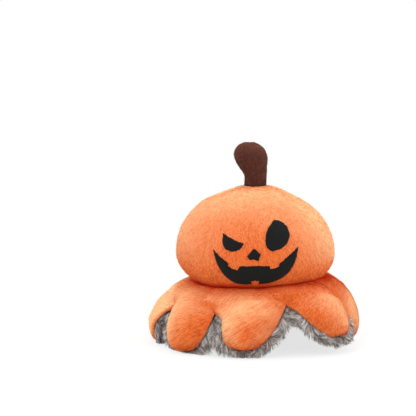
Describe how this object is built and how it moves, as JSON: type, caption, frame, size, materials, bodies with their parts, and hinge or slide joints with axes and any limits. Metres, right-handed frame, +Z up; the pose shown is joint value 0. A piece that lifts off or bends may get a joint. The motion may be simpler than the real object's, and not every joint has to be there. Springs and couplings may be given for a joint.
{
  "type": "pumpkin dog toy",
  "caption": "Stuffed reversible dog toy: a plush pumpkin head with a felt jack-o'-lantern face and a bendy stem, on a skirt of padded legs lined with grey fur.",
  "frame": {"origin": "on the floor under the middle of the head", "axes": "+Z up through the stem, -Y the way the pumpkin face looks, +X to the viewer's right"},
  "size_m": [0.1776, 0.1776, 0.1703],
  "materials": {
    "orange_plush": "short brushed pile",
    "grey_fur": "long frosted pile",
    "brown_plush": "short brushed pile",
    "black_felt": "matt felt",
    "pink_felt": "matt felt",
    "stuffing": "loose polyester fibre",
    "squeaker_plastic": "soft moulded",
    "reed_plastic": "moulded"
  },
  "bodies": {
    "skirt": {"skirt_cover": "orange_plush", "skirt_stuffing": "stuffing", "skirt_lining": "grey_fur"},
    "head": {"head_front_panel": "orange_plush", "head_back_panel": "orange_plush", "head_front_stuffing": "stuffing", "head_back_stuffing": "stuffing", "pocket_front_panel": "grey_fur", "pocket_back_panel": "grey_fur", "winking_eye": "black_felt", "open_eye": "black_felt", "nose": "black_felt", "mouth": "black_felt", "eye_patch": "black_felt", "patch_strap_left": "black_felt", "patch_strap_right": "black_felt", "small_eye": "black_felt", "small_mouth": "black_felt", "tongue": "pink_felt", "squeaker_base": "squeaker_plastic", "squeaker_bellows": "squeaker_plastic", "squeaker_reed": "reed_plastic"},
    "squeaker_cap": {"squeaker_cap": "squeaker_plastic"},
    "stem": {"stem_front_panel": "brown_plush", "stem_back_panel": "brown_plush", "stem_stuffing": "stuffing"},
    "front_leg": {"front_leg_cover": "orange_plush", "front_leg_stuffing": "stuffing", "front_leg_lining": "grey_fur"},
    "front_right_leg": {"front_right_leg_cover": "orange_plush", "front_right_leg_stuffing": "stuffing", "front_right_leg_lining": "grey_fur"},
    "right_leg": {"right_leg_cover": "orange_plush", "right_leg_stuffing": "stuffing", "right_leg_lining": "grey_fur"},
    "back_right_leg": {"back_right_leg_cover": "orange_plush", "back_right_leg_stuffing": "stuffing", "back_right_leg_lining": "grey_fur"},
    "back_leg": {"back_leg_cover": "orange_plush", "back_leg_stuffing": "stuffing", "back_leg_lining": "grey_fur"},
    "back_left_leg": {"back_left_leg_cover": "orange_plush", "back_left_leg_stuffing": "stuffing", "back_left_leg_lining": "grey_fur"},
    "left_leg": {"left_leg_cover": "orange_plush", "left_leg_stuffing": "stuffing", "left_leg_lining": "grey_fur"},
    "front_left_leg": {"front_left_leg_cover": "orange_plush", "front_left_leg_stuffing": "stuffing", "front_left_leg_lining": "grey_fur"}
  },
  "joints": [
    {"name": "head_twist", "type": "hinge", "parent": "skirt", "child": "head", "pos_m": [0, 0, 0.05], "axis": [0, 0, 1], "range_deg": [-25, 25], "stiffness_Nm_per_rad": 0.15},
    {"name": "stem_bend", "type": "hinge", "parent": "head", "child": "stem", "pos_m": [0, 0, 0.13496], "axis": [0, 1, 0], "range_deg": [-30, 30], "stiffness_Nm_per_rad": 0.03},
    {"name": "squeaker_squeeze", "type": "slide", "parent": "head", "child": "squeaker_cap", "axis": [0, 0, -1], "range_m": [0, 0.006], "stiffness_N_per_m": 200, "deforming": ["squeaker_bellows"]},
    {"name": "front_leg_lift", "type": "hinge", "parent": "skirt", "child": "front_leg", "pos_m": [0, -0.07, 0.049], "axis": [-1, 0, 0], "range_deg": [-6, 45], "stiffness_Nm_per_rad": 0.15},
    {"name": "front_right_leg_lift", "type": "hinge", "parent": "skirt", "child": "front_right_leg", "pos_m": [0.0495, -0.0495, 0.049], "axis": [-0.7071, -0.7071, 0], "range_deg": [-18, 33], "stiffness_Nm_per_rad": 0.15},
    {"name": "right_leg_lift", "type": "hinge", "parent": "skirt", "child": "right_leg", "pos_m": [0.07, 0, 0.049], "axis": [0, -1, 0], "range_deg": [-6, 45], "stiffness_Nm_per_rad": 0.15},
    {"name": "back_right_leg_lift", "type": "hinge", "parent": "skirt", "child": "back_right_leg", "pos_m": [0.0495, 0.0495, 0.049], "axis": [0.7071, -0.7071, 0], "range_deg": [-6, 45], "stiffness_Nm_per_rad": 0.15},
    {"name": "back_leg_lift", "type": "hinge", "parent": "skirt", "child": "back_leg", "pos_m": [0, 0.07, 0.049], "axis": [1, 0, 0], "range_deg": [-6, 45], "stiffness_Nm_per_rad": 0.15},
    {"name": "back_left_leg_lift", "type": "hinge", "parent": "skirt", "child": "back_left_leg", "pos_m": [-0.0495, 0.0495, 0.049], "axis": [0.7071, 0.7071, 0], "range_deg": [-6, 45], "stiffness_Nm_per_rad": 0.15},
    {"name": "left_leg_lift", "type": "hinge", "parent": "skirt", "child": "left_leg", "pos_m": [-0.07, 0, 0.049], "axis": [0, 1, 0], "range_deg": [-6, 45], "stiffness_Nm_per_rad": 0.15},
    {"name": "front_left_leg_lift", "type": "hinge", "parent": "skirt", "child": "front_left_leg", "pos_m": [-0.0495, -0.0495, 0.049], "axis": [-0.7071, 0.7071, 0], "range_deg": [-6, 45], "stiffness_Nm_per_rad": 0.15}
  ]
}
